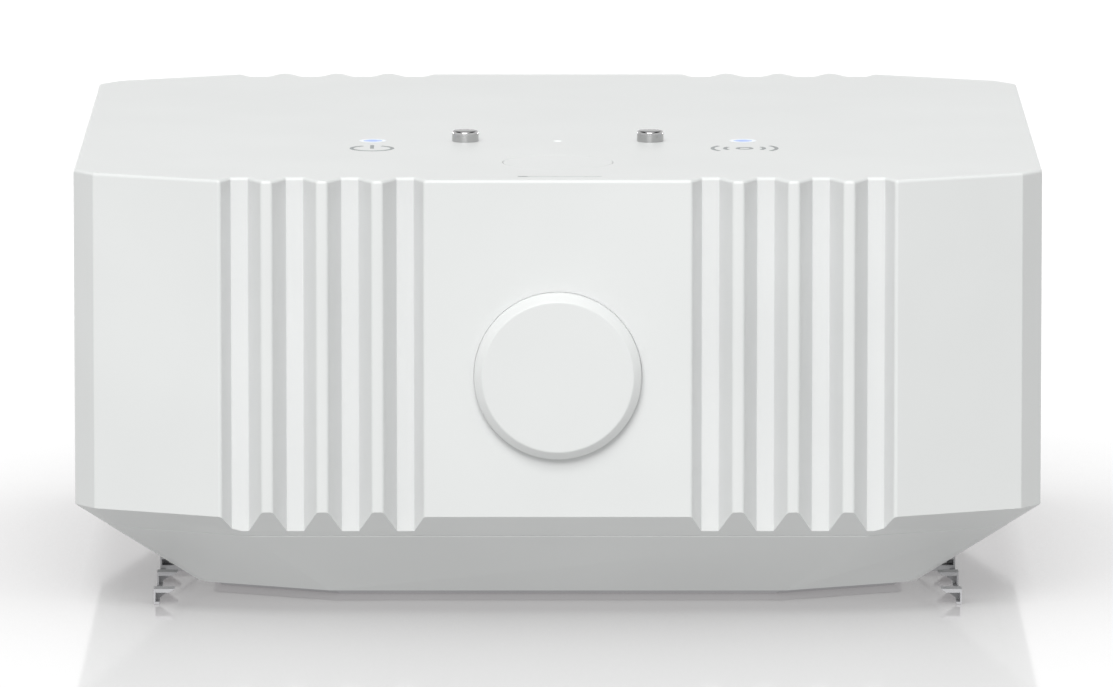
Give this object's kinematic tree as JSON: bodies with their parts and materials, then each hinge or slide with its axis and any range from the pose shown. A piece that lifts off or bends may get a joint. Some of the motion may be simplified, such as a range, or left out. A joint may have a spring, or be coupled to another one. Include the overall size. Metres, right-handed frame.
{
  "type": "environmental sensor",
  "caption": "White battery environmental sensor block with grooved end walls, a tapered back, push buttons, leak contact pins and a slide-off wall plate.",
  "frame": {"origin": "centre of the wall plate's back face, which the sensor also rests on", "axes": "+Z out of the face, +Y towards the upper end on a wall, +X to the right"},
  "size_m": [0.088, 0.0821, 0.0407],
  "materials": {
    "housing_white": "fine moulded satin",
    "grey_silicone": "matt moulded silicone",
    "stainless": "plain stainless steel",
    "plate_grey": "grey powder coat",
    "black_nylon": "moulded nylon",
    "board_green": "solder mask on glass epoxy",
    "indicator_glow": "clear acrylic, lit pale blue",
    "clear_window": "clear acrylic",
    "lamp_chip": "surface-mounted lamp",
    "chip_black": "moulded epoxy",
    "pin_metal": "polished plated contact",
    "gold_contact": "gold-plated contact",
    "capacitor_can": "sleeved aluminium can",
    "cell_sleeve": "plain printed sleeve",
    "membrane_white": "porous membrane"
  },
  "bodies": {
    "root": {"front_housing": "housing_white", "rear_cover": "housing_white", "housing_gasket": "grey_silicone", "case_screws": "stainless", "side_button_seal": "grey_silicone", "side_switch_body": "black_nylon", "switch_board": "board_green", "switch_board_header": "black_nylon", "top_button_seal": "grey_silicone", "top_switch_body": "black_nylon", "light_pipe_power": "indicator_glow", "light_pipe_link": "indicator_glow", "light_sensor_window": "clear_window", "led_power": "lamp_chip", "led_link": "lamp_chip", "light_sensor": "chip_black", "leak_pin_left": "pin_metal", "leak_pin_right": "pin_metal", "leak_pin_seals": "grey_silicone", "leak_pin_retainers": "stainless", "leak_pin_contacts": "gold_contact", "main_board": "board_green", "board_screws": "stainless", "processor": "chip_black", "radio_shield": "stainless", "radio_antenna": "gold_contact", "buffer_capacitor": "capacitor_can", "battery_cradle": "black_nylon", "battery_cell_left": "cell_sleeve", "battery_cell_right": "cell_sleeve", "cell_end_plates": "stainless", "cell_springs": "stainless", "vent_membrane": "membrane_white", "climate_board": "board_green", "climate_sensor": "chip_black", "climate_header": "black_nylon"},
    "side_button": {"side_button_cap": "housing_white", "side_button_clip": "stainless", "side_switch_plunger": "black_nylon"},
    "top_button": {"top_button_cap": "housing_white", "top_switch_plunger": "black_nylon"},
    "wall_plate": {"wall_plate": "plate_grey"}
  },
  "joints": [
    {"name": "side_button_press", "type": "slide", "parent": "root", "child": "side_button", "axis": [0, 1, 0], "range_m": [0, 0.001], "stiffness_N_per_m": 1500, "springref_m": -0.0008, "deforming": ["side_button_seal"]},
    {"name": "top_button_press", "type": "slide", "parent": "root", "child": "top_button", "axis": [0, 0, -1], "range_m": [0, 0.0004], "stiffness_N_per_m": 4000, "springref_m": -0.0002},
    {"name": "wall_plate_slide", "type": "slide", "parent": "root", "child": "wall_plate", "axis": [0, -1, 0], "range_m": [0, 0.006]}
  ]
}
